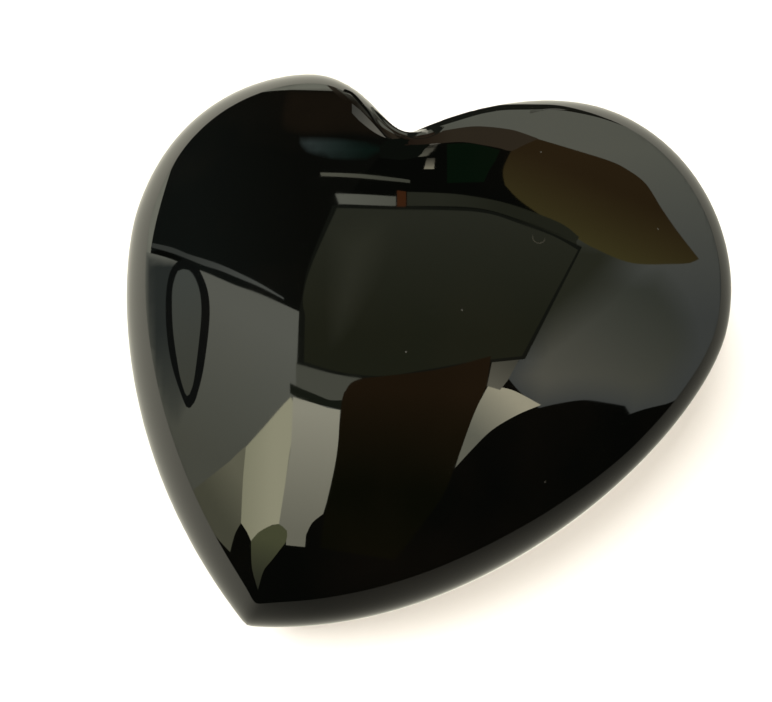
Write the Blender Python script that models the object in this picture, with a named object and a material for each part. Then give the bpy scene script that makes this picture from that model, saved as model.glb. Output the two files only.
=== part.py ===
"""A polished black tourmaline stone in the shape of a puffy, uneven heart.

The stone is one solid piece. Metres, +Z up. The origin is on the surface that the stone rests on, under
the middle of its outline. +Y points from the heart's tip to its cleft, and +X to its larger lobe.

The widest line around the stone is its belt. Rings shrink from the belt over the top to one point, and
under the stone to a small flat rest face. Each ring is the belt's outline with its corners faded out,
which is how grinding and polishing leave a stone.
"""

import bpy
import bmesh
import numpy as np
from mathutils import Vector
from mathutils.geometry import interpolate_bezier

# Driving dimensions, in millimetres and degrees
MM = 0.001

# The belt seen from above, anticlockwise from the tip. Each landmark has its place, the length and
# direction of the handle that the curve arrives along, and those of the handle that it leaves along.
TIP = dict(at=(-8.5, -38.2), arrive=(30.0, 147.0), leave=(31.1, 12.0))
LARGE_LOBE_SIDE = dict(at=(40.1, 12.7), arrive=(12.7, -90.0), leave=(13.3, 90.0))
LARGE_LOBE_TOP = dict(at=(17.0, 37.6), arrive=(12.4, 0.0), leave=(10.6, 180.0))
CLEFT = dict(at=(-7.1, 26.3), arrive=(4.0, 50.0), leave=(1.0, 125.0))
SMALL_LOBE_TOP = dict(at=(-20.2, 34.2), arrive=(6.9, 0.0), leave=(4.2, 180.0))
SMALL_LOBE_SIDE = dict(at=(-40.0, 10.3), arrive=(19.1, 90.0), leave=(7.3, -90.0))

LARGE_SIDE = (TIP, LARGE_LOBE_SIDE, LARGE_LOBE_TOP, CLEFT)
SMALL_SIDE = (CLEFT, SMALL_LOBE_TOP, SMALL_LOBE_SIDE, TIP)

CORNER_ROUNDING = 0.008   # radians: how far polishing rounds the tip and the cleft
RING_CENTRE = (3.5, 1.5)  # where the rings shrink to, near the middle of the outline
DOME_LEAN = (0.3, 1.2)    # how far the top of the dome leans from the ring centre

BELT_HEIGHT = 12.6        # height of the belt above the table at the middle of the outline
BELT_RISE_X = 0.075       # the belt rises towards the larger lobe
BELT_RISE_Y = 0.100       # and from the tip towards the cleft
DOME_HEIGHT = 13.0        # from the belt to the top of the dome
DOME_FULLNESS = 0.36      # 0 is an ellipse in section, and more makes a fuller shoulder
UNDERSIDE_FULLNESS = 0.28
REST_FACE = 0.45          # size of the flat rest face, as a share of the belt

# Hand grinding left the dome fuller at the lobes and the tip, and slimmer at the sides. Each pair is the
# cosine and the sine part of a wave in its fullness that goes once, twice, then three times around.
FULLNESS_SWELLS = ((-0.40, 0.20), (-0.60, 0.15), (0.15, -0.05))

# Mesh fineness
CURVE_STEPS = 80
WAVE_SAMPLES = 720
LARGE_SIDE_POINTS = 60
SMALL_SIDE_POINTS = 48
TOP_RINGS = 22
UNDERSIDE_RINGS = 12


def handle(landmark, end):
    """A landmark's Bezier handle, as a point."""
    length, direction = landmark[end]
    turn = np.radians(direction)
    return Vector(landmark["at"]) + length * Vector((np.cos(turn), np.sin(turn)))


def side_curve(landmarks):
    """Points along one side of the belt, from its first landmark to its last."""
    points = []
    for start, end in zip(landmarks, landmarks[1:]):
        curve = interpolate_bezier(Vector(start["at"]), handle(start, "leave"),
                                   handle(end, "arrive"), Vector(end["at"]), CURVE_STEPS)
        points += curve[1:] if points else curve
    return np.array([(point.x, point.y) for point in points])


def evenly_spaced(points, count):
    """Points at equal steps along a curve, without its last one."""
    steps = np.hypot(*np.diff(points, axis=0).T)
    travelled = np.concatenate([[0.0], np.cumsum(steps)])
    wanted = np.linspace(0.0, travelled[-1], count, endpoint=False)
    return np.stack([np.interp(wanted, travelled, points[:, axis]) for axis in (0, 1)], axis=1)


def polar(points):
    """Angles and distances of points about the ring centre."""
    x, y = (points - np.array(RING_CENTRE)).T
    return np.arctan2(y, x) % (2 * np.pi), np.hypot(x, y)


def belt_waves(outline):
    """The belt's distance from the ring centre, as a sum of waves around it, with softened corners."""
    angles, distances = polar(outline)
    order = np.argsort(angles)
    even = np.arange(WAVE_SAMPLES) * 2 * np.pi / WAVE_SAMPLES
    waves = np.fft.rfft(np.interp(even, angles[order], distances[order], period=2 * np.pi)) / WAVE_SAMPLES
    number = np.arange(len(waves))
    waves[1:] *= 2
    return waves * np.exp(-(number * CORNER_ROUNDING) ** 2 / 2)


def fade(size):
    """The share of a once-round wave that a ring keeps, from 0 in the middle to 1 at the belt."""
    return size * (1.5 - 0.5 * size ** 2)


def ring(waves, size, angles):
    """One ring of the stone: the belt shrunk to a size from 0 to 1.

    Wave n is also multiplied by the n-th power of the fade, so short waves, which are the tip and the
    cleft, are gone before the middle.
    """
    number = np.arange(len(waves))
    distance = size * np.real(np.exp(1j * np.outer(angles, number)) @ (waves * fade(size) ** number))
    return np.stack([distance * np.cos(angles), distance * np.sin(angles)], axis=1) + np.array(RING_CENTRE)


def fullness_around(size, angles):
    """Fullness of the dome at each point of a ring: its mean, and slow waves that fade towards the top."""
    waves = sum(fade(size) ** turns * (cosine * np.cos(turns * angles) + sine * np.sin(turns * angles))
                for turns, (cosine, sine) in enumerate(FULLNESS_SWELLS, start=1))
    return DOME_FULLNESS + waves


def dome(size, fullness):
    """Height of a ring above the belt, from 1 at the top to 0 at the belt, upright where it meets it."""
    return np.sqrt(np.clip(1 - (1 - fullness) * size ** 2 - fullness * size ** 4, 0, None))


def belt_height(xy):
    """Height of the tilted belt plane at each point."""
    return BELT_HEIGHT + BELT_RISE_X * xy[:, 0] + BELT_RISE_Y * xy[:, 1]


def top_ring(waves, size, angles):
    """A ring of the domed top."""
    xy = ring(waves, size, angles) + np.array(DOME_LEAN) * (1 - size ** 2)
    height = DOME_HEIGHT * dome(size, fullness_around(size, angles))
    return np.column_stack([xy, belt_height(xy) + height])


def underside_ring(waves, size, angles):
    """A ring of the underside, which curves in from the belt and meets the table at the rest face."""
    xy = ring(waves, size, angles)
    drop = 1 - dome(size, UNDERSIDE_FULLNESS) / dome(REST_FACE, UNDERSIDE_FULLNESS)
    return np.column_stack([xy, belt_height(xy) * drop])


def heart_mesh():
    """The closed surface: the top point, rings down to the belt and on to the rest face, and that face."""
    large = side_curve(LARGE_SIDE)
    small = side_curve(SMALL_SIDE)
    waves = belt_waves(np.concatenate([large[:-1], small[:-1]]))
    vertices = np.concatenate([evenly_spaced(large, LARGE_SIDE_POINTS),
                               evenly_spaced(small, SMALL_SIDE_POINTS)])
    angles, _ = polar(vertices)

    top_sizes = np.sin(np.linspace(0, np.pi / 2, TOP_RINGS + 1))
    under_sizes = np.sin(np.linspace(np.pi / 2, np.arcsin(REST_FACE), UNDERSIDE_RINGS + 1))
    peak = top_ring(waves, top_sizes[0], angles[:1])[0]
    rings = [top_ring(waves, size, angles) for size in top_sizes[1:]]
    rings += [underside_ring(waves, size, angles) for size in under_sizes[1:]]
    rings[-1][:, 2] = 0.0

    belt = rings[TOP_RINGS - 1]
    middle = np.array([*(belt[:, :2].max(axis=0) + belt[:, :2].min(axis=0)) / 2, 0.0])

    shape = bmesh.new()
    peak_vertex = shape.verts.new((peak - middle) * MM)
    loops = [[shape.verts.new((point - middle) * MM) for point in points] for points in rings]
    count = len(angles)
    for index in range(count):
        after = (index + 1) % count
        shape.faces.new((peak_vertex, loops[0][index], loops[0][after]))
        for upper, lower in zip(loops, loops[1:]):
            shape.faces.new((upper[index], lower[index], lower[after], upper[after]))
    rest_face = shape.faces.new(loops[-1][::-1])
    for face in shape.faces:
        face.smooth = face is not rest_face
    for edge in rest_face.edges:
        edge.smooth = False
    mesh = bpy.data.meshes.new("polished_heart")
    shape.to_mesh(mesh)
    shape.free()
    return mesh


def polished_stone():
    """Black tourmaline with a glassy polish."""
    material = bpy.data.materials.new("black_tourmaline")
    material.use_nodes = True
    shader = material.node_tree.nodes["Principled BSDF"]
    shader.inputs["Base Color"].default_value = (0.010, 0.010, 0.009, 1.0)
    shader.inputs["Metallic"].default_value = 0.0
    shader.inputs["Roughness"].default_value = 0.03
    shader.inputs["IOR"].default_value = 1.63
    return material


def main():
    for item in list(bpy.data.objects):
        bpy.data.objects.remove(item, do_unlink=True)
    heart = bpy.data.objects.new("polished_heart", heart_mesh())
    heart.data.materials.append(polished_stone())
    bpy.context.scene.collection.objects.link(heart)


main()
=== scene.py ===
# %% [markdown]
# # A mirror-polished black stone heart
#
# Black tourmaline is close to black glass. Almost nothing that is seen on it is its own colour: the
# polish shows whatever stands around it. So this lesson spends its time on three things. They are a
# surface that is smooth enough to carry a reflection, a thin finish of polish, haze and specks, and a
# set of plain cards around the stone for the polish to show.

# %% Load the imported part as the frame
import math

import bpy
import numpy as np
from mathutils import Matrix, Vector
from mathutils.bvhtree import BVHTree
from mathutils.geometry import delaunay_2d_cdt
from mathutils.interpolate import poly_3d_calc


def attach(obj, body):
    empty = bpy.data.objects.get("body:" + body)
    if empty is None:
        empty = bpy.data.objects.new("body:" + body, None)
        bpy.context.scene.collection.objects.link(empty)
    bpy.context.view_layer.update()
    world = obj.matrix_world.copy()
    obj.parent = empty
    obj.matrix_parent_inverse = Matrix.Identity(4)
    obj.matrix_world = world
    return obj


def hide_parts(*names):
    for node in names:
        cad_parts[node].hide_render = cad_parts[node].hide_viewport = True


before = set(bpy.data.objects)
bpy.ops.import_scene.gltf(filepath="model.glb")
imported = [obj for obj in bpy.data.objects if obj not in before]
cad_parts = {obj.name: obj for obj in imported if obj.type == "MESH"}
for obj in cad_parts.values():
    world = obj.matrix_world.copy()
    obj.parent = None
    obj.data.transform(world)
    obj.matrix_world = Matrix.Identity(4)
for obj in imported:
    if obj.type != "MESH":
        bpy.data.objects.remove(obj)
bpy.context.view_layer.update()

MM = 0.001

# %% [markdown]
# ## The belt
#
# The belt is the widest line around the stone. It could be traced with many points, but then every
# bump of the tracing would show in the polish. Six landmarks with tangent handles are enough: the tip,
# the sides and tops of the two lobes, and the cleft. Cubic curves between them have no bumps at all.

# %% The belt's landmarks and the curve through them
# Place in mm, then length in mm and direction in degrees of the handle in and of the handle out
TIP = ((-8.5, -38.2), (30.0, 147.0), (31.1, 12.0))
LARGE_LOBE_SIDE = ((40.1, 12.7), (12.7, -90.0), (13.3, 90.0))
LARGE_LOBE_TOP = ((17.0, 37.6), (12.4, 0.0), (10.6, 180.0))
CLEFT = ((-7.1, 26.3), (4.0, 50.0), (1.0, 125.0))
SMALL_LOBE_TOP = ((-20.2, 34.2), (6.9, 0.0), (4.2, 180.0))
SMALL_LOBE_SIDE = ((-40.0, 10.3), (19.1, 90.0), (7.3, -90.0))
LANDMARKS = (TIP, LARGE_LOBE_SIDE, LARGE_LOBE_TOP, CLEFT, SMALL_LOBE_TOP, SMALL_LOBE_SIDE)
CURVE_STEPS = 120


def handle_point(place, handle):
    """A handle's end: its length along its direction, from its landmark."""
    length, direction = handle
    turn = math.radians(direction)
    return np.array(place) + length * np.array([math.cos(turn), math.sin(turn)])


def belt_curve(landmarks):
    """Cubic curves (1-t)^3 A + 3 (1-t)^2 t B + 3 (1-t) t^2 C + t^3 D, from each landmark to the next."""
    t = np.linspace(0.0, 1.0, CURVE_STEPS, endpoint=False)[:, None]
    stretches = []
    for (start, _, leave), (end, arrive, _) in zip(landmarks, landmarks[1:] + landmarks[:1]):
        a, b, c, d = np.array(start), handle_point(start, leave), handle_point(end, arrive), np.array(end)
        stretches.append((1 - t) ** 3 * a + 3 * (1 - t) ** 2 * t * b
                         + 3 * (1 - t) * t ** 2 * c + t ** 3 * d)
    return np.concatenate(stretches)


belt = belt_curve(LANDMARKS)
print("belt, mm:", np.ptp(belt, axis=0).round(1), "from", len(LANDMARKS), "landmarks")

# %% [markdown]
# ## From the belt to the rings
#
# A puffed heart could be made by shrinking its outline towards the middle, but then the cleft and the
# tip would run as sharp creases right up to the top. Grinding and polishing take corners off first. So
# the belt's distance from a centre is split into waves around it, and each ring towards the middle is
# the same sum with its short waves faded. The corners of the outline are in those short waves.

# %% Waves around the belt
RING_CENTRE = np.array([3.5, 1.5])
CORNER_ROUNDING = 0.008
WAVE_SAMPLES = 720


def polar(points):
    """Angles and distances of points about the ring centre."""
    x, y = (points - RING_CENTRE).T
    return np.arctan2(y, x) % (2 * np.pi), np.hypot(x, y)


def belt_waves(outline):
    """The belt's distance from the centre as waves W_n around it, each softened by exp(-(n r)^2 / 2)."""
    angles, distances = polar(outline)
    order = np.argsort(angles)
    even = np.arange(WAVE_SAMPLES) * 2 * np.pi / WAVE_SAMPLES
    waves = np.fft.rfft(np.interp(even, angles[order], distances[order], period=2 * np.pi)) / WAVE_SAMPLES
    waves[1:] *= 2
    return waves * np.exp(-(np.arange(len(waves)) * CORNER_ROUNDING) ** 2 / 2)


def fade(sizes):
    """How much of a once-round wave is left at a ring's size: q = size (1.5 - size^2 / 2)."""
    return sizes * (1.5 - 0.5 * sizes ** 2)


def ring_grid(waves, sizes, angles):
    """x and y of every ring: distance = size times the sum of W_n q^n turned by n times the angle."""
    number = np.arange(len(waves))
    left = waves * fade(sizes)[:, None] ** number
    distance = sizes[:, None] * np.real(left @ np.exp(1j * np.outer(number, angles)))
    return RING_CENTRE[0] + distance * np.cos(angles), RING_CENTRE[1] + distance * np.sin(angles)


waves = belt_waves(belt)
print("waves kept above 0.01 mm:", int(np.sum(np.abs(waves) > 0.01)))

# %% [markdown]
# ## The dome and the underside
#
# The top is a low dome whose shoulders are fuller than an ellipse's, because the stone was shaped by
# hand on a wheel. How full they are changes slowly around it. The underside curves in to a small flat
# face that the stone stands on. Both are heights over the rings, so the whole stone is one formula.

# %% Heights of the dome, of the belt and of the underside
DOME_LEAN = (0.3, 1.2)
BELT_HEIGHT = 12.6
BELT_RISE = (0.075, 0.100)
DOME_HEIGHT = 13.0
DOME_FULLNESS = 0.36
FULLNESS_SWELLS = ((-0.40, 0.20), (-0.60, 0.15), (0.15, -0.05))
UNDERSIDE_FULLNESS = 0.28
REST_FACE = 0.45


def fullness_around(sizes, angles):
    """Fullness of the dome: its mean plus waves q^n (c cos nA + s sin nA), n = 1 to 3 times round."""
    left = fade(sizes)[:, None]
    swells = sum(left ** turns * (cosine * np.cos(turns * angles) + sine * np.sin(turns * angles))
                 for turns, (cosine, sine) in enumerate(FULLNESS_SWELLS, start=1))
    return DOME_FULLNESS + swells


def dome(sizes, fullness):
    """Height from 1 at the top to 0 at the belt: the root of 1 - (1 - f) size^2 - f size^4."""
    return np.sqrt(np.clip(1 - (1 - fullness) * sizes ** 2 - fullness * sizes ** 4, 0, None))


def belt_height(x, y):
    """Height of the belt, which rises towards the larger lobe and towards the cleft."""
    return BELT_HEIGHT + BELT_RISE[0] * x + BELT_RISE[1] * y


def top_grid(waves, sizes, angles):
    """The dome: rings that lean by (1 - size^2), at the belt's height plus the dome's."""
    x, y = ring_grid(waves, sizes, angles)
    lean = (1 - sizes ** 2)[:, None]
    x, y = x + DOME_LEAN[0] * lean, y + DOME_LEAN[1] * lean
    z = belt_height(x, y) + DOME_HEIGHT * dome(sizes[:, None], fullness_around(sizes, angles))
    return np.stack([x, y, z], axis=-1)


def underside_grid(waves, sizes, angles):
    """The underside: rings at the belt's height times 1 - dome(size) / dome(rest face)."""
    x, y = ring_grid(waves, sizes, angles)
    drop = 1 - dome(sizes[:, None], UNDERSIDE_FULLNESS) / dome(REST_FACE, UNDERSIDE_FULLNESS)
    return np.stack([x, y, np.maximum(belt_height(x, y) * drop, 0.0)], axis=-1)


print("mm up to the belt:", BELT_HEIGHT, "and from there to the top:", DOME_HEIGHT)

# %% [markdown]
# ## A mesh that is fine enough for a mirror
#
# A mirror shows every facet, so the mesh needs small, even steps where the surface turns. Rings are
# spaced by the sine of an angle, which puts many of them at the steep shoulder. Around the belt, points
# are shared out by length plus turning, so that the tip and the cleft get more than the long sides.

# %% The grid of the whole stone
TOP_RINGS = 160
UNDERSIDE_RINGS = 60
REST_RINGS = 8
POINTS_AROUND = 400
TURN_WORTH = 14.0
SHARP_ANGLE = math.radians(25)
# Of each wave in the polish: its height in mm, its radians per mm along x and along y, and its start
POLISH_WAVES = ((0.012, 0.42, 0.25, 0.4), (0.010, 0.20, -0.47, 2.1), (0.006, 0.75, 0.61, 5.0))


def shared_angles(outline, count):
    """Angles at equal steps of (length along the outline + TURN_WORTH mm for each radian of turning)."""
    steps = np.roll(outline, -1, axis=0) - outline
    heading = np.unwrap(np.arctan2(steps[:, 1], steps[:, 0]))
    turning = np.abs(np.gradient(heading))
    travelled = np.concatenate([[0.0], np.cumsum(np.hypot(*steps.T) + TURN_WORTH * turning)])
    wanted = np.linspace(0.0, travelled[-1], count, endpoint=False)
    closed = np.concatenate([outline, outline[:1]])
    return polar(np.stack([np.interp(wanted, travelled, closed[:, axis]) for axis in (0, 1)], axis=1))[0]


def hand_polish(x, y, sizes):
    """A polish's own faint waves, in mm: three long sine waves across the dome, none at the belt."""
    height = sum(high * np.sin(along_x * x + along_y * y + start)
                 for high, along_x, along_y, start in POLISH_WAVES)
    return height * (1 - sizes[:, None] ** 4)


def stone_grid():
    """Every ring from the top to the middle of the rest face, in metres, and the two end points."""
    angles = shared_angles(belt, POINTS_AROUND)
    top_sizes = np.sin(np.linspace(0, np.pi / 2, TOP_RINGS + 1))[1:]
    under_sizes = np.sin(np.linspace(np.pi / 2, math.asin(REST_FACE), UNDERSIDE_RINGS + 1))[1:]
    top = top_grid(waves, top_sizes, angles)
    top[..., 2] += hand_polish(top[..., 0], top[..., 1], top_sizes)
    under = underside_grid(waves, under_sizes, angles)
    rest_x, rest_y = ring_grid(waves, np.array([REST_FACE]), angles)
    shrink = np.linspace(1, 0, REST_RINGS + 1)[1:-1, None]
    rest = np.stack([RING_CENTRE[0] + shrink * (rest_x - RING_CENTRE[0]),
                     RING_CENTRE[1] + shrink * (rest_y - RING_CENTRE[1]),
                     np.zeros((REST_RINGS - 1, POINTS_AROUND))], axis=-1)
    peak = top_grid(waves, np.zeros(1), angles[:1])[0, 0]
    foot = np.array([*RING_CENTRE, 0.0])
    middle = np.append((top[-1, :, :2].max(axis=0) + top[-1, :, :2].min(axis=0)) / 2, 0.0)
    rings = np.concatenate([top, under, rest])
    return (rings - middle) * MM, (peak - middle) * MM, (foot - middle) * MM, middle


def closed_mesh(name, grid, first, last):
    """A closed mesh: four-sided faces between rings of a grid, and a fan to one point at each end."""
    rows, around = grid.shape[:2]
    index = np.arange(rows * around).reshape(rows, around)
    after = np.roll(index, -1, axis=1)
    quads = np.stack([index[:-1], index[1:], after[1:], after[:-1]], axis=-1).reshape(-1, 4)
    fan = np.stack([np.full(around, rows * around), index[0], after[0]], axis=-1)
    base = np.stack([np.full(around, rows * around + 1), after[-1], index[-1]], axis=-1)
    mesh = bpy.data.meshes.new(name)
    mesh.from_pydata(np.concatenate([grid.reshape(-1, 3), [first, last]]).tolist(), [],
                     quads.tolist() + fan.tolist() + base.tolist())
    mesh.polygons.foreach_set("use_smooth", np.ones(len(mesh.polygons), dtype=bool))
    return mesh


stone_rings, stone_peak, stone_foot, stone_middle = stone_grid()
stone_mesh = closed_mesh("stone", stone_rings, stone_peak, stone_foot)
stone_mesh.set_sharp_from_angle(angle=SHARP_ANGLE)
stone = bpy.data.objects.new("stone_heart", stone_mesh)
bpy.context.scene.collection.objects.link(stone)
print("outline's middle, mm:", stone_middle.round(2))
print("stone, mm:", (np.ptp(stone_rings.reshape(-1, 3), axis=0) / MM).round(2),
      "triangles:", sum(len(face.vertices) - 2 for face in stone_mesh.polygons))

# %% [markdown]
# ## The camera
#
# The stone was seen from almost straight above, a little from the tip's side, and turned so that the
# tip points down and to the left. The camera is placed by three measured things: how far it leans, to
# which side, and how far it is from the stone.

# %% A camera that looks down at the stone
PHOTO_WIDTH = 772
PHOTO_HEIGHT = 702
FOCAL_PIXELS = 770.0
SENSOR = 36.0
CAMERA_LEAN = math.radians(14.5)
CAMERA_TURN = math.radians(15.5)
CAMERA_DISTANCE = 100.0 * MM
CAMERA_TARGET = Vector((-0.90, -0.25, 14.0)) * MM
NEAREST_SEEN = 5.0 * MM

look = Vector((-math.sin(CAMERA_LEAN) * math.sin(CAMERA_TURN),
               math.sin(CAMERA_LEAN) * math.cos(CAMERA_TURN),
               -math.cos(CAMERA_LEAN)))
right = Vector((math.cos(CAMERA_TURN), math.sin(CAMERA_TURN), 0.0))
up = right.cross(look)
camera_place = CAMERA_TARGET - look * CAMERA_DISTANCE

camera = bpy.data.objects.new("camera", bpy.data.cameras.new("camera"))
camera.data.sensor_width = SENSOR
camera.data.lens = SENSOR * FOCAL_PIXELS / PHOTO_WIDTH
camera.data.clip_start = NEAREST_SEEN
camera.matrix_world = Matrix.Translation(camera_place) @ Matrix((right, up, -look)).transposed().to_4x4()
bpy.context.scene.collection.objects.link(camera)
bpy.context.scene.camera = camera
print("camera, mm:", [round(value / MM, 1) for value in camera_place])

# %% [markdown]
# ## Following a ray off the polish
#
# Two later steps need to know what a place in the picture shows: the marks on the stone, and the cards
# around it. Both start from a pixel. The ray through the pixel is followed to the stone, and then off
# it, mirrored about the smooth normal that the polish has there.

# %% From a pixel to the stone, and off it
stone_tree = BVHTree.FromPolygons([vertex.co for vertex in stone_mesh.vertices],
                                  [tuple(face.vertices) for face in stone_mesh.polygons])
vertex_normals = np.empty(3 * len(stone_mesh.vertices))
stone_mesh.vertex_normals.foreach_get("vector", vertex_normals)
vertex_normals = vertex_normals.reshape(-1, 3)
MIDDLE_PIXEL = np.array([430.0, 350.0])
SLIDE_PIXELS = 0.5


def hit(pixel):
    """The ray through a pixel, and where it meets the stone: its place and smooth normal, or None."""
    across = (pixel[0] - PHOTO_WIDTH / 2) / FOCAL_PIXELS
    down = (pixel[1] - PHOTO_HEIGHT / 2) / FOCAL_PIXELS
    ray = (look + right * across - up * down).normalized()
    place, _, face, _ = stone_tree.ray_cast(camera_place, ray)
    if place is None:
        return ray, None, None
    corners = stone_mesh.polygons[face].vertices
    shares = poly_3d_calc([stone_mesh.vertices[corner].co for corner in corners], place)
    return ray, place, Vector(np.array(shares) @ vertex_normals[list(corners)]).normalized()


def bounce(pixel):
    """Place on the stone, mirrored direction r = d - 2 (d.n) n, and the cosine -d.n, from a pixel.

    A pixel that just misses the stone slides towards its middle until it meets it.
    """
    pixel = np.array(pixel, dtype=float)
    ray, place, normal = hit(pixel)
    while place is None:
        inwards = MIDDLE_PIXEL - pixel
        pixel = pixel + inwards * SLIDE_PIXELS / np.hypot(*inwards)
        ray, place, normal = hit(pixel)
    return place, ray - 2 * ray.dot(normal) * normal, -ray.dot(normal)


middle_direction = bounce(MIDDLE_PIXEL)[1]
print("the stone's middle shows what is", round(math.degrees(math.asin(middle_direction.z))), "degrees up")

# %% [markdown]
# ## The polish
#
# Tourmaline bends light more than glass does, so its polish reflects about six hundredths of what is
# in front of it, and far more at the edges. One glossy shader with the right index does that. A mirror
# without any flaw looks like a computer's, so the stone also gets faint brown clouds in its body, haze
# in its polish, a few specks of dust, and one small curl left by the polishing wheel.


# %% Small helpers for shader nodes
def add_node(tree, kind, **settings):
    """A new node. Settings with an upper case first letter are its inputs, and the rest its properties."""
    node = tree.nodes.new(kind)
    for name, value in settings.items():
        if name[0].isupper():
            node.inputs[name.replace("_", " ")].default_value = value
        else:
            setattr(node, name, value)
    return node


def remap(tree, source, low, high, to_low, to_high):
    """A value taken from the range low..high to the range to_low..to_high, and kept inside it."""
    node = add_node(tree, "ShaderNodeMapRange", From_Min=low, From_Max=high, To_Min=to_low, To_Max=to_high)
    tree.links.new(source, node.inputs["Value"])
    return node.outputs["Result"]


def calculate(tree, operation, first, second):
    """Blender's Math node with two sockets, or a socket and a number."""
    node = add_node(tree, "ShaderNodeMath", operation=operation)
    for socket, value in zip(node.inputs, (first, second)):
        if isinstance(value, (int, float)):
            socket.default_value = value
        else:
            tree.links.new(value, socket)
    return node.outputs["Value"]


def mix_colours(tree, share, first, second):
    """A colour between two, each a socket or a colour."""
    node = add_node(tree, "ShaderNodeMix", data_type="RGBA")
    tree.links.new(share, node.inputs[0])
    for socket, value in ((node.inputs[6], first), (node.inputs[7], second)):
        if isinstance(value, tuple):
            socket.default_value = value
        else:
            tree.links.new(value, socket)
    return node.outputs[2]


# %% Marks on the polish: dust specks and one curl
SPECK_PIXELS = ((462, 310), (541, 152), (658, 229), (545, 482), (406, 352), (640, 128))
SPECK_RADIUS = 0.16 * MM
CURL_PIXEL = (539, 237)
CURL_RADIUS = 0.75 * MM
CURL_WIDTH = 0.10 * MM
CURL_STRENGTH = 0.6
# How far below its centre the curl is whole, and how far above it is gone, in its radii
CURL_WHOLE = 0.4
CURL_GONE = 0.3
# The inner part of a mark's width that has its full strength
MARK_CORE = 0.4


def near(tree, place, spot, radius, width):
    """1 on a ring of a radius around a spot, 0 beyond its width: a radius of 0 is a round speck."""
    gap = add_node(tree, "ShaderNodeVectorMath", operation="DISTANCE")
    tree.links.new(place, gap.inputs[0])
    gap.inputs[1].default_value = spot
    off = calculate(tree, "ABSOLUTE", calculate(tree, "SUBTRACT", gap.outputs["Value"], radius), 0.0)
    return remap(tree, off, width * MARK_CORE, width, 1.0, 0.0)


def polish_marks(tree, place):
    """1 where a speck or the curl is, and 0 elsewhere. The curl is the lower part of a small ring."""
    marks = None
    for pixel in SPECK_PIXELS:
        speck = near(tree, place, bounce(pixel)[0], 0.0, SPECK_RADIUS)
        marks = calculate(tree, "MAXIMUM", marks, speck) if marks else speck
    curl_place = bounce(CURL_PIXEL)[0]
    curl = near(tree, place, curl_place, CURL_RADIUS, CURL_WIDTH)
    parts = add_node(tree, "ShaderNodeSeparateXYZ")
    tree.links.new(place, parts.inputs[0])
    lower = remap(tree, parts.outputs["Y"], curl_place.y - CURL_WHOLE * CURL_RADIUS,
                  curl_place.y + CURL_GONE * CURL_RADIUS, CURL_STRENGTH, 0.0)
    return calculate(tree, "MAXIMUM", marks, calculate(tree, "MULTIPLY", curl, lower))


# %% The finish of black tourmaline
TOURMALINE_INDEX = 1.63
NEAR_BLACK = (0.0006, 0.0007, 0.0005, 1.0)
WARM_BLACK = (0.0021, 0.0016, 0.0010, 1.0)
DUST_GREY = (0.020, 0.019, 0.016, 1.0)
CLOUD_SCALE = 45.0
CLOUD_RANGE = (0.45, 0.75)
HAZE_SCALE = 120.0
HAZE_RANGE = (0.35, 0.75)
HAZE_ROUGHNESS = (0.012, 0.040)
MARK_ROUGHNESS = 0.35


def black_tourmaline():
    """Polished stone: near-black body with brown clouds, index 1.63, faint haze, and a few marks."""
    material = bpy.data.materials.new("black_tourmaline_polish")
    material.use_nodes = True
    tree = material.node_tree
    shader = tree.nodes["Principled BSDF"]
    place = add_node(tree, "ShaderNodeTexCoord").outputs["Object"]
    marks = polish_marks(tree, place)

    cloud = add_node(tree, "ShaderNodeTexNoise", Scale=CLOUD_SCALE, Detail=3.0)
    tree.links.new(place, cloud.inputs["Vector"])
    clouds = remap(tree, cloud.outputs["Fac"], *CLOUD_RANGE, 0.0, 1.0)
    body = mix_colours(tree, clouds, NEAR_BLACK, WARM_BLACK)
    tree.links.new(mix_colours(tree, marks, body, DUST_GREY), shader.inputs["Base Color"])

    haze = add_node(tree, "ShaderNodeTexNoise", Scale=HAZE_SCALE, Detail=4.0)
    tree.links.new(place, haze.inputs["Vector"])
    fine = remap(tree, haze.outputs["Fac"], *HAZE_RANGE, *HAZE_ROUGHNESS)
    dull_marks = calculate(tree, "MULTIPLY", marks, MARK_ROUGHNESS)
    tree.links.new(calculate(tree, "MAXIMUM", fine, dull_marks), shader.inputs["Roughness"])

    shader.inputs["IOR"].default_value = TOURMALINE_INDEX
    shader.inputs["Metallic"].default_value = 0.0
    return material


stone.data.materials.append(black_tourmaline())
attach(stone, "root")
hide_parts("polished_heart")
print("finish:", stone.data.materials[0].name, "with", len(stone.data.materials[0].node_tree.nodes), "nodes")

# %% [markdown]
# ## The table, and the light on it
#
# The stone lies on a cream table in strong, soft window light, which washes the table out to white and
# leaves one warm shadow on the side away from the window. A lamp that the polish mirrors would draw a
# bright square on the stone, so both lamps are hidden from reflections.

# %% Round sheets and a plain matte material
TABLE_RADIUS = 2.0
AROUND_TABLE = 96
MATTE_ROUGHNESS = 0.9
MATTE_SHINE = 0.1


def round_sheet(name, radii, heights):
    """A sheet of rings at given radii and heights about the Z axis, closed by one face in the middle."""
    angles = np.linspace(0, 2 * np.pi, AROUND_TABLE, endpoint=False)
    radii, heights = np.array(radii)[:, None], np.array(heights)[:, None]
    rings = np.stack([radii * np.cos(angles), radii * np.sin(angles), heights + 0 * angles], axis=-1)
    index = np.arange(len(radii) * AROUND_TABLE).reshape(len(radii), AROUND_TABLE)
    after = np.roll(index, -1, axis=1)
    quads = np.stack([index[:-1], index[1:], after[1:], after[:-1]], axis=-1).reshape(-1, 4)
    mesh = bpy.data.meshes.new(name)
    mesh.from_pydata(rings.reshape(-1, 3).tolist(), [], quads.tolist() + [index[0].tolist()])
    return mesh


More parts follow.
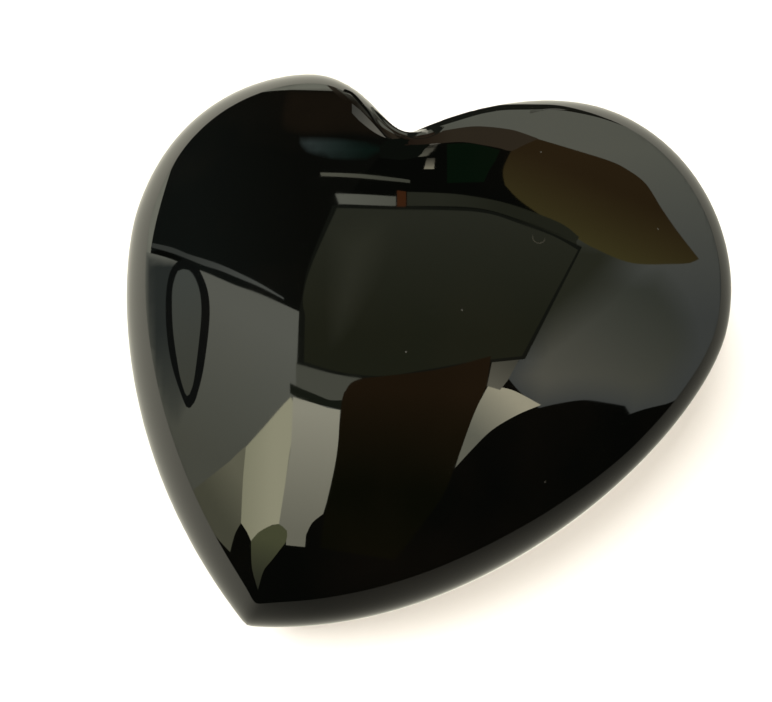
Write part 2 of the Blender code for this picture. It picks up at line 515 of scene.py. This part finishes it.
def add_stage(name, mesh, material, hidden_from):
    """Put a mesh with its material in the scene, hidden from some kinds of ray."""
    mesh.materials.append(material)
    piece = bpy.data.objects.new(name, mesh)
    bpy.context.scene.collection.objects.link(piece)
    for ray_kind in hidden_from:
        setattr(piece, "visible_" + ray_kind, False)
    return piece


def matte(name, colour):
    """A plain matte material."""
    material = bpy.data.materials.new(name)
    material.use_nodes = True
    shader = material.node_tree.nodes["Principled BSDF"]
    shader.inputs["Base Color"].default_value = (*colour, 1.0)
    shader.inputs["Roughness"].default_value = MATTE_ROUGHNESS
    shader.inputs["Specular IOR Level"].default_value = MATTE_SHINE
    return material


TABLE_CREAM = (0.80, 0.78, 0.74)
table_rings = np.array([0.05, 0.2, 0.5, 1.0]) * TABLE_RADIUS
add_stage("table", round_sheet("table", table_rings, 0 * table_rings), matte("cream_table", TABLE_CREAM),
          ("glossy",))


# %% Window light and a large warm fill from above
def soft_lamp(name, azimuth, elevation, distance, size, power, colour):
    """A square soft lamp that looks at the stone from an azimuth and elevation in degrees."""
    lamp = bpy.data.lights.new(name, "AREA")
    lamp.shape = "SQUARE"
    lamp.size = size
    lamp.energy = power
    lamp.color = colour
    a, e = math.radians(azimuth), math.radians(elevation)
    towards = Vector((math.cos(a) * math.cos(e), math.sin(a) * math.cos(e), math.sin(e)))
    holder = bpy.data.objects.new(name, lamp)
    turned = towards.to_track_quat("Z", "Y").to_matrix().to_4x4()
    holder.matrix_world = Matrix.Translation(towards * distance) @ turned
    holder.visible_glossy = False
    bpy.context.scene.collection.objects.link(holder)
    print(name, power, "W, from", elevation, "degrees up")


soft_lamp("window_light", azimuth=162, elevation=60, distance=0.9, size=0.55, power=11.8,
          colour=(1.0, 1.0, 1.0))
soft_lamp("warm_fill", azimuth=-40, elevation=70, distance=1.2, size=1.2, power=18.0,
          colour=(1.0, 0.93, 0.84))

DIM_AROUND = (0.011, 0.012, 0.010, 1.0)
world = bpy.data.worlds.new("dim_surroundings")
bpy.context.scene.world = world
world.use_nodes = True
world.node_tree.nodes["Background"].inputs["Color"].default_value = DIM_AROUND
world.node_tree.nodes["Background"].inputs["Strength"].default_value = 1.0

scene = bpy.context.scene
scene.view_settings.view_transform = "Standard"
scene.view_settings.look = "None"
scene.view_settings.exposure = 0.0
scene.view_settings.gamma = 1.0


# %% Things that only glow
def glow(name):
    """A light-giving material: the colour attribute "light", and clear where "cover" is 0."""
    material = bpy.data.materials.new(name)
    material.use_nodes = True
    tree = material.node_tree
    tree.nodes.remove(tree.nodes["Principled BSDF"])
    source = add_node(tree, "ShaderNodeEmission")
    light = add_node(tree, "ShaderNodeAttribute", attribute_name="light")
    tree.links.new(light.outputs["Color"], source.inputs["Color"])
    mix = add_node(tree, "ShaderNodeMixShader")
    cover = add_node(tree, "ShaderNodeAttribute", attribute_name="cover")
    tree.links.new(cover.outputs["Fac"], mix.inputs[0])
    tree.links.new(add_node(tree, "ShaderNodeBsdfTransparent").outputs[0], mix.inputs[1])
    tree.links.new(source.outputs[0], mix.inputs[2])
    tree.links.new(mix.outputs[0], tree.nodes["Material Output"].inputs["Surface"])
    return material


def set_glow(mesh, light, cover):
    """Give each vertex its light, in red, green and blue, and its cover from 0 to 1."""
    rgba = np.concatenate([light, np.ones((len(light), 1))], axis=1)
    mesh.attributes.new("light", "FLOAT_COLOR", "POINT").data.foreach_set("color", rgba.ravel())
    mesh.attributes.new("cover", "FLOAT", "POINT").data.foreach_set("value", cover)


card_glow = glow("card_glow")
ONLY_IN_POLISH = ("camera", "diffuse", "shadow", "transmission", "volume_scatter")
ONLY_FOR_CAMERA = ("glossy", "diffuse", "shadow", "transmission", "volume_scatter")

# %% [markdown]
# ## The table in the polish
#
# The rim of the stone shows the table. The table is bright towards the window, dim on the other side,
# and darkest beyond the tip. Close to the stone all of it is about as bright, and below the larger
# lobe some light spills over it that fades slowly. One sheet just above the table gives the polish
# that picture, from a formula. The sheet glows though it is no lamp: it is a painted reflection of
# the table, with the table's light, its shade and the spill painted in, since the polish doesn't see
# the lit table itself.

# %% The table as the rim shows it
SHEET_HEIGHT = 0.2 * MM
TABLE_TINT = (1.0, 0.97, 0.80)
LIT_SIDE = math.radians(142.0)
# Painted shade on the reflected table, darkest beyond the tip
SHADE_SIDE = math.radians(276.0)
SHADE_SPREAD = math.radians(22.0)
SHADE_DEPTH = 0.5
FAR_DIM = 0.17
FAR_BRIGHT = 1.45
NEAR_LIGHT = 1.25
NEAR_REACH = 7.0 * MM
# A painted spill of light on the reflected table, beside the larger lobe
SPILL_LIGHT = 1.7
SPILL_SIDE = math.radians(335.0)
SPILL_SPREAD = math.radians(35.0)
SPILL_REACH = 8.0 * MM


def turned_by(angle, centre):
    """The turn from a centre to an angle, from -pi to pi."""
    return (angle - centre + np.pi) % (2 * np.pi) - np.pi


def table_light(x, y):
    """far + (near - far) exp(-gap / near reach) + spill / (1 + gap / spill reach).

    The far light swings with cos^2 of half the turn from the lit side, and is darker at the shade side.
    The spill is on one side only.
    """
    azimuth = np.arctan2(y, x)
    far = FAR_DIM + (FAR_BRIGHT - FAR_DIM) * np.cos(turned_by(azimuth, LIT_SIDE) / 2) ** 2
    far = far * (1 - SHADE_DEPTH * np.exp(-(turned_by(azimuth, SHADE_SIDE) / SHADE_SPREAD) ** 2))
    edge_x, edge_y = stone_rings[TOP_RINGS - 1, :, :2].T
    edge = np.interp(azimuth, np.arctan2(edge_y, edge_x), np.hypot(edge_x, edge_y), period=2 * np.pi)
    gap = np.maximum(np.hypot(x, y) - edge, 0)
    spill = SPILL_LIGHT * np.exp(-(turned_by(azimuth, SPILL_SIDE) / SPILL_SPREAD) ** 2)
    light = far + (NEAR_LIGHT - far) * np.exp(-gap / NEAR_REACH) + spill / (1 + gap / SPILL_REACH)
    return light[:, None] * np.array(TABLE_TINT)


# Rings every 2 mm near the stone, where the light changes fast, and ever wider ones further out
sheet_radii = np.concatenate([np.linspace(0.02, 0.10, 41), np.geomspace(0.11, TABLE_RADIUS, 16)])
sheet_mesh = round_sheet("table_in_polish", sheet_radii, 0 * sheet_radii + SHEET_HEIGHT)
sheet_places = np.array([vertex.co for vertex in sheet_mesh.vertices])
sheet_light = table_light(*sheet_places[:, :2].T)
set_glow(sheet_mesh, sheet_light, np.ones(len(sheet_places)))
add_stage("table_in_polish", sheet_mesh, card_glow, ONLY_IN_POLISH)
print("table's light in the polish, least and most:", sheet_light.min().round(3), sheet_light.max().round(3))

# %% [markdown]
# ## Glowing cards that paint the reflections in the polish
#
# In a studio, white, grey and black cards stand around a black stone, because without them it looks
# flat. The cards here are no lamps but glow all the same: they are painted reflections, and the light
# and shade seen around the stone are painted into their tones. Each card here starts as an outline in
# pixels of the photograph and the tone that it should have there. The ray through each of its points is
# followed to the stone and off it, and the card's point is set at one distance along that bounce. Its
# light is the tone over the share that the polish reflects at that angle. From any other side the
# polish shows the same cards, bent as it bends them.
# The slope beside the cleft is hollow, and bounces off it cross each other further out. The cards for
# that slope are therefore small and stand near it.

# %% Outlines with smooth sides
STEP_PIXELS = 5.0
INSIDE_PIXELS = 7.0
SAME_POINT_PIXELS = 1e-4


def smooth_side(points, before, after):
    """A Catmull-Rom curve: each stretch is the cubic through its two ends, aimed by their neighbours."""
    line = np.array([before, *points, after], dtype=float)
    stretches = []
    for p0, p1, p2, p3 in zip(line, line[1:], line[2:], line[3:]):
        t = np.arange(0, 1, STEP_PIXELS / max(np.hypot(*(p2 - p1)), STEP_PIXELS))[:, None]
        stretches.append(0.5 * (2 * p1 + (p2 - p0) * t + (2 * p0 - 5 * p1 + 4 * p2 - p3) * t ** 2
                                + (3 * p1 - p0 - 3 * p2 + p3) * t ** 3))
    return np.concatenate(stretches)


def outline_points(sides):
    """The closed outline of a card: each side runs smoothly to the first point of the next."""
    runs = []
    for side, following in zip(sides, sides[1:] + sides[:1]):
        points = [*side, following[0]]
        runs.append(smooth_side(points, points[0], points[-1]))
    return np.concatenate(runs)


def filled(outline):
    """Points of a card and its triangles: the outline, and a grid of points inside it."""
    low, high = outline.min(axis=0), outline.max(axis=0)
    across, down = np.meshgrid(np.arange(low[0], high[0], INSIDE_PIXELS),
                               np.arange(low[1], high[1], INSIDE_PIXELS))
    grid = np.stack([across.ravel(), down.ravel()], axis=1)
    gap = np.hypot(*(grid[:, None] - outline[None]).T).min(axis=0)
    points = np.concatenate([outline, grid[gap > STEP_PIXELS / 2]])
    found = delaunay_2d_cdt([Vector(point) for point in points], [], [list(range(len(outline)))], 1,
                            SAME_POINT_PIXELS)
    used, faces = np.unique(np.array(found[2]), return_inverse=True)
    return np.array(found[0])[used], faces.reshape(-1, 3)


# %% From a tone in the picture to the light of a card
BODY_LIGHT = 0.0012


def linear(tone):
    """Light of a screen tone from 0 to 255."""
    return ((np.array(tone) / 255 + 0.055) / 1.055) ** 2.4


def reflected_share(cosine):
    """Fresnel's share for an index n at a cosine c, with g = sqrt(n^2 - 1 + c^2)."""
    g = np.sqrt(TOURMALINE_INDEX ** 2 - 1 + cosine ** 2)
    across = (g - cosine) / (g + cosine)
    along = (cosine * (g + cosine) - 1) / (cosine * (g - cosine) + 1)
    return 0.5 * across ** 2 * (1 + along ** 2)


print("share that the polish reflects straight back:", round(float(reflected_share(1.0)), 3))


# %% Build one card
CARD_LOW = 0.004
FARTHEST_CARD = 1.9
CARD_GAP = 0.02
cards_made = []


def card(name, sides, tone, end_tone=None, run=None, soft=0.0, distance=None):
    """A card from its outline's sides, in pixels. Each later card stands in front of the earlier ones.

    Its tone goes to end_tone along the run from one pixel to another, and a soft card fades out over
    that many pixels at its edge. A small card can stand at a distance of its own.
    """
    outline = outline_points(sides)
    pixels, faces = filled(outline)
    bounces = [bounce(pixel) for pixel in pixels]
    distance = distance or FARTHEST_CARD - CARD_GAP * len(cards_made)
    points = np.array([place + direction * distance for place, direction, _ in bounces])
    points[:, 2] = np.maximum(points[:, 2], CARD_LOW)

    share = np.zeros(len(pixels))
    if run:
        start, end = np.array(run, dtype=float)
        share = np.clip((pixels - start) @ (end - start) / np.sum((end - start) ** 2), 0, 1)
    tones = np.array(tone) * (1 - share[:, None]) + np.array(end_tone or tone) * share[:, None]
    cosines = np.array([cosine for _, _, cosine in bounces])
    light = np.maximum(linear(tones) - BODY_LIGHT, 0) / reflected_share(cosines)[:, None]

    gap = np.hypot(*(pixels[:, None] - outline[None]).T).min(axis=0)
    cover = np.clip(gap / soft, 0, 1) if soft else np.ones(len(pixels))
    mesh = bpy.data.meshes.new(name)
    mesh.from_pydata(points.tolist(), [], faces.tolist())
    set_glow(mesh, light, cover)
    cards_made.append(add_stage(name, mesh, card_glow, ONLY_IN_POLISH))


# %% The dark upper left, and the far table above it
UPPER_DARK = (((150, 252), (155, 230), (163, 195), (175, 162), (193, 131), (223, 107), (258, 93), (290, 90),
               (333, 91)),
              ((349, 92), (370, 112)), ((392, 140),), ((345, 200), (318, 255)), ((301, 311),),
              ((258, 293), (205, 272), (168, 251)))
card("upper_dark", UPPER_DARK, (14, 16, 15), (9, 9, 8), ((190, 200), (300, 180)))
FAR_TABLE = (((352, 92), (333, 91), (288, 90), (258, 93), (239, 100), (223, 107), (207, 117), (193, 131),
              (183, 145), (173, 165), (165, 189), (157, 218), (152, 242), (150, 262), (149, 300)),
             ((149, 340),),
             ((131, 340), (128, 300), (133, 230), (150, 172), (180, 128), (222, 97), (270, 80), (318, 75)),
             ((352, 84),))
card("far_table", FAR_TABLE, (104, 105, 95))

# %% Large grey cards to the right and to the left
RIGHT_WALL = (((425, 131), (447, 123.5), (477, 115), (506, 110), (541, 109), (573, 112), (610, 121),
               (644, 136), (667, 153), (690, 180), (712, 218), (730, 262), (738, 300), (730, 345),
               (700, 388)),
              ((666, 404), (645, 409)), ((630, 414),), ((625, 406), (608, 403), (584, 400), (556, 404)),
              ((539, 408), (520, 392)), ((508, 378),), ((521, 357),), ((578, 250), (562, 180)),
              ((532, 140), (513, 131), (491, 128), (471, 127.5), (447, 131)))
card("right_wall", RIGHT_WALL, (80, 81, 73), (57, 59, 57), ((650, 150), (655, 320)))
RIGHT_WALL_LOW = (((545, 262), (575, 250), (594, 250), (630, 264)), ((665, 265), (690, 300), (700, 350)),
                  ((668, 404), (645, 409)), ((630, 414),), ((625, 406), (608, 403), (584, 400), (556, 404)),
                  ((539, 408), (520, 392)), ((508, 378),), ((521, 357),))
card("right_wall_low", RIGHT_WALL_LOW, (50, 52, 46), (77, 76, 68), ((640, 285), (556, 392)), soft=26)
# A soft dark card for the shading on the right wall: painted shade in the reflection
RIGHT_WALL_SHADE = (((500, 215), (600, 215), (658, 250)), ((638, 276), (609, 308), (582, 330)),
                   ((545, 360),), ((480, 365),))
card("right_wall_shade", RIGHT_WALL_SHADE, (36, 37, 29), soft=38)

LEFT_WALL = (((146, 252), (168, 258), (186, 265), (207, 273), (235, 285), (260, 294)), ((300, 312),),
             ((300, 362), (324, 367), (370, 374)), ((400, 376),), ((341, 412), (332, 470)),
             ((318, 505), (280, 510)), ((236, 515),),
             ((212, 530), (194, 506), (177, 475), (163, 432), (153, 390), (148, 340), (145, 300)))
card("left_wall", LEFT_WALL, (84, 85, 78), (68, 69, 61), ((270, 330), (200, 450)))
LEFT_WALL_EDGE = (((152, 243), (172, 247.5), (188, 254), (204, 259), (220, 264.5), (236, 271.5),
                   (260, 283.5)),
                  ((284, 298),),
                  ((284, 299.5), (260, 287), (236, 277), (220, 270.5), (204, 265.5), (188, 259),
                   (172, 253)),
                  ((152, 247.5),))
card("left_wall_edge", LEFT_WALL_EDGE, (50, 52, 49), (70, 72, 68), ((180, 255), (262, 292)))
LEFT_WALL_SHADE = (((143, 253), (160, 257)), ((190, 262), (196, 330)), ((190, 400), (176, 430)),
                   ((158, 400), (149, 360), (143, 300)))
card("left_wall_shade", LEFT_WALL_SHADE, (38, 41, 39), (64, 65, 58), ((166, 330), (176, 430)), soft=8)
OVAL_HOOP = (((183, 259), (192, 262), (200, 271), (208, 292), (209.5, 320), (204, 366), (198, 392),
              (194, 403), (189, 408), (184, 402), (172, 366), (166.5, 330), (166, 295), (170, 272),
              (177, 262)),)
card("oval_hoop", OVAL_HOOP, (13, 14, 14))
OVAL_INSIDE = (((183, 269), (190, 271), (196, 280), (200.5, 296), (201, 320), (196, 366), (192, 388),
                (187, 396), (182, 384), (178, 366), (173, 330), (172, 296), (174, 281), (178, 271)),)
card("oval_inside", OVAL_INSIDE, (62, 65, 61), (58, 59, 52), ((186, 275), (186, 390)))

# %% Two pale cards at the lower left
BEIGE_CARD = (((291, 397), (283, 405), (262, 429)), ((244, 449), (241, 500)), ((241, 523), (247, 532)),
              ((251, 541), (259, 532), (272, 525)), ((279, 524), (285, 485), (291, 444)), ((297, 412),))
card("beige_card", BEIGE_CARD, (121, 120, 99), (137, 135, 113), ((240, 480), (272, 480)))
BEIGE_FOLD = (((188, 494),), ((230, 461), (238, 453)), ((246, 446), (243, 480)), ((241, 523), (235, 534)),
              ((230, 552), (214, 534), (199, 510)))
card("beige_fold", BEIGE_FOLD, (66, 66, 54), (90, 89, 74), ((212, 500), (243, 480)))
PALE_CARD = (((293, 397), (313, 403), (328, 408)), ((340, 410), (338, 444), (334, 470), (327, 501)),
             ((323, 514), (312, 523)), ((306, 535),), ((305, 547),), ((286, 545),), ((287, 531),),
             ((279, 524), (285, 485), (291, 444)))
card("pale_card", PALE_CARD, (134, 132, 117), (99, 98, 86), ((318, 412), (303, 535)))
SMALL_FOLD = (((251, 541), (259, 532), (270, 526)), ((279, 524), (287, 531)),
              ((286, 542), (272, 560), (264, 570), (260, 582)), ((258, 590), (252, 568)))
card("small_fold", SMALL_FOLD, (66, 68, 48), (36, 37, 30), ((270, 540), (256, 590)))

# A darker card for the shaded side of a wall corner: painted shade in the reflection
WALL_CORNER_SHADE = (((296, 362), (324, 367), (370, 374)), ((392, 376), (362, 381)), ((347, 392), (344, 402)),
               ((330, 403), (313, 403)), ((296, 395),))
card("wall_corner_shade", WALL_CORNER_SHADE, (67, 68, 60))
DARK_BAR = (((290, 383), (300, 388), (317, 395), (330, 400)), ((345, 400),),
            ((345, 411), (329, 407), (313, 403), (298, 398)), ((290, 393),))
card("dark_bar", DARK_BAR, (20, 22, 17))

# %% A pale wedge at the right of the dark card
WEDGE = (((488, 386), (512, 390)), ((541, 405), (518, 414.5), (492, 430), (471.5, 450)),
         ((455, 468), (471, 420)))
card("wedge", WEDGE, (146, 141, 121), (90, 90, 79), ((515, 400), (478, 440)))
WEDGE_TOP = (((493, 357),), ((521, 356),), ((508, 380),), ((500, 390),), ((487, 386),))
card("wedge_top", WEDGE_TOP, (62, 61, 53), (84, 82, 72), ((510, 360), (495, 388)))

# %% The brown card, and the red-brown and the green one beside it
BROWN_CARD = (((511, 151), (522, 146)),
              ((538, 139), (575, 150), (610, 161), (628, 170), (646, 184), (662, 209), (678, 232)),
              ((699, 259), (690, 263)),
              ((678, 264), (632, 263), (594, 248), (575, 237), (547, 219), (530, 208), (516, 197)),
              ((505, 185), (503, 170)))
card("brown_card", BROWN_CARD, (36, 27, 15), (54, 49, 27), ((615, 190), (590, 246)))
RED_BROWN_CARD = (((412, 138), (424, 134.5), (447, 130), (471, 126.5), (491, 127), (513, 130)),
                  ((538, 139), (522, 146)), ((511, 151), (499, 148), (483, 145), (462, 142)),
                  ((436, 143.5),), ((412, 144),))
card("red_brown_card", RED_BROWN_CARD, (40, 36, 30), (42, 33, 23), ((440, 138), (520, 142)))
GREEN_CARD = (((447, 144), (472, 143.5)), ((500, 150),), ((496, 160), (490, 169)), ((484, 182),),
              ((447, 183),))
card("green_card", GREEN_CARD, (5, 15, 8))

# %% Small near cards for the slope beside the cleft
CLOSE = 25.0 * MM
CLOSER = 0.9 * CLOSE
CLOSE_WALL = (((405, 137), (425, 130), (447, 122.5), (477, 114), (506, 109)), ((530, 109),), ((530, 134),),
              ((513, 130), (491, 127), (471, 126.5), (447, 130), (424, 134.5)))
card("close_wall", CLOSE_WALL, (74, 75, 67), (80, 81, 73), ((420, 132), (470, 120)), distance=CLOSE)
CLOSE_BROWN = (((405, 138), (424, 134.5), (447, 130), (471, 126.5), (491, 127), (513, 130)),
               ((538, 138.5),),
               ((522, 146), (511, 151), (499, 148), (483, 145), (462, 142), (436, 143.5)), ((405, 146),))
card("close_brown", CLOSE_BROWN, (30, 22, 17), (42, 36, 28), ((410, 140), (450, 136)), distance=CLOSE)
CLOSE_BLACK = (((388, 140), (400, 138.5)), ((412, 138), (412, 144)), ((430, 144),),
               ((424, 150), (418, 157)), ((400, 160),), ((380, 158), (380, 146)))
card("close_black", CLOSE_BLACK, (10, 12, 10), distance=CLOSE)
LOBE_LINE = (((345, 89), (352, 92), (359, 98.5), (370, 112.5), (379, 127.5)), ((390, 140),),
             ((384, 136), (376, 125.5), (367.5, 113), (357, 101), (350, 94)), ((343, 91.5),))
card("lobe_line", LOBE_LINE, (12, 12, 11), distance=CLOSE)
SLOPE_SHADE = (((403, 135), (430, 123), (460, 113), (482, 107), (506, 104.5), (535, 104.3), (560, 105.5),
                (588, 112)),
               ((612, 120.5), (588, 114.5), (560, 109), (535, 109.5), (506, 110), (491, 112), (477, 115),
                (447, 124), (425, 131)),
               ((406, 138),))
card("slope_shade", SLOPE_SHADE, (20, 21, 18), distance=CLOSER)

# %% A warm patch, a cool one and a streak in the dark part
WARM_PATCH = (((285, 88), (350, 90)), ((372, 110), (396, 138)), ((350, 136), (284, 132)))
card("warm_patch", WARM_PATCH, (19, 15, 11), soft=8)
COOL_PATCH = (((296, 136), (337, 137), (377, 143)), ((388, 150),), ((367, 161), (333, 160), (305, 152)))
card("cool_patch", COOL_PATCH, (40, 47, 46), (10, 20, 17), ((310, 142), (368, 154)), soft=6)
# A painted streak of light in the reflection
LENS_STREAK = (((352, 103.5), (360, 110), (369, 119), (378.5, 129.5)),
               ((386, 138), (378, 134.5), (369.5, 129)), ((359, 120.5),), ((352, 113),))
card("lens_streak", LENS_STREAK, (58, 58, 54), (90, 88, 80), ((354, 108), (378, 130)))

# %% Thin strips between the dark part and the centre
FIRST_STRIP = (((320, 172.5), (360, 174), (396, 178)), ((410, 180),),
               ((410, 183), (396, 181.5), (360, 178)), ((321, 176),))
card("first_strip", FIRST_STRIP, (76, 76, 66), (60, 61, 53), ((330, 175), (400, 180)))
SECOND_STRIP = (((335, 193.5), (365, 194.5)), ((396, 196.5),), ((396, 206), (365, 205)), ((339, 204),))
card("second_strip", SECOND_STRIP, (84, 85, 77), (76, 77, 69), ((340, 200), (390, 201)))
STRIP_TAB = (((397, 190.5),), ((406, 191.5),), ((406, 209),), ((397, 209),))
card("strip_tab", STRIP_TAB, (54, 30, 16))
THIRD_STRIP = (((407, 192), (440, 193), (467, 195.5), (504, 202.5), (541, 215), (564, 225)), ((579, 237),),
               ((577, 241), (554, 232), (518, 219), (488, 210), (456, 206.5)), ((407, 206),))
card("third_strip", THIRD_STRIP, (36, 37, 30), (30, 31, 24), ((440, 200), (500, 210)))
# A painted glint: a window's bright spot and the streak above it, as two small glowing cards
BRIGHT_SPOT = (((427, 158),), ((435, 158),), ((434, 169),), ((424, 169),))
card("bright_spot", BRIGHT_SPOT, (46, 44, 38), (118, 114, 98), ((430, 159), (430, 168)))
SPOT_STREAK = (((430, 145),), ((437, 144.5), (433, 151)), ((427, 156),), ((418, 157),), ((424, 151),))
card("spot_streak", SPOT_STREAK, (62, 60, 52), (78, 77, 67), ((434, 145), (422, 156)))

# %% The centre card with its dark frame, and the dark card below it
CENTRE_FRAME = (((333, 205), (397, 206.5), (456, 207.5), (490, 211), (518, 220), (554, 234)), ((582, 247),),
                ((525, 359), (470, 365), (430, 372), (381, 379), (340, 375)), ((297, 364),),
                ((299, 312), (302, 297), (309, 264)))
card("centre_frame", CENTRE_FRAME, (17, 18, 15))
CENTRE_CARD = (((337, 208), (397, 209.5), (456, 210.5), (490, 214), (518, 223), (554, 236.5)),
               ((578, 250),),
               ((522, 356), (470, 362), (430, 369), (381, 376), (340, 372)), ((304, 362),),
               ((305, 315), (303, 297), (312, 264)))
card("centre_card", CENTRE_CARD, (37, 38, 31), (27, 28, 20), ((430, 215), (430, 335)))
CENTRE_LIGHT = (((325, 225), (390, 215), (380, 280), (330, 350)),)
card("centre_light", CENTRE_LIGHT, (41, 42, 34), soft=28)
DARK_CARD = (((346, 390), (351, 383), (362, 378.5), (385, 376), (440, 369)), ((491, 356),),
             ((487, 385), (472, 419), (456, 463), (440, 500)), ((395, 560),), ((320, 548),),
             ((325, 512), (332, 483), (338, 444), (342, 400)))
card("dark_card", DARK_CARD, (27, 19, 11), (9, 9, 4), ((400, 390), (392, 490)))
print("cards:", len(cards_made))

# %% [markdown]
# ## A pale backdrop for the other views
#
# From the side the camera sees past the table's edge. A bowl of plain light stands there, which only
# the camera sees, so it doesn't reach the polish or the shadows.

# %% The backdrop
BACKDROP_LIGHT = (1.0, 0.985, 0.94)
BOWL_RADIUS = 0.45
BOWL_RINGS = 12
BOWL_TOP = np.radians(88)
bowl_turns = np.linspace(BOWL_TOP, 0, BOWL_RINGS)
bowl_mesh = round_sheet("backdrop", BOWL_RADIUS * np.cos(bowl_turns), BOWL_RADIUS * np.sin(bowl_turns))
bowl_points = len(bowl_mesh.vertices)
set_glow(bowl_mesh, np.tile(BACKDROP_LIGHT, (bowl_points, 1)), np.ones(bowl_points))
add_stage("backdrop", bowl_mesh, card_glow, ONLY_FOR_CAMERA)
print("backdrop:", bowl_points, "points")
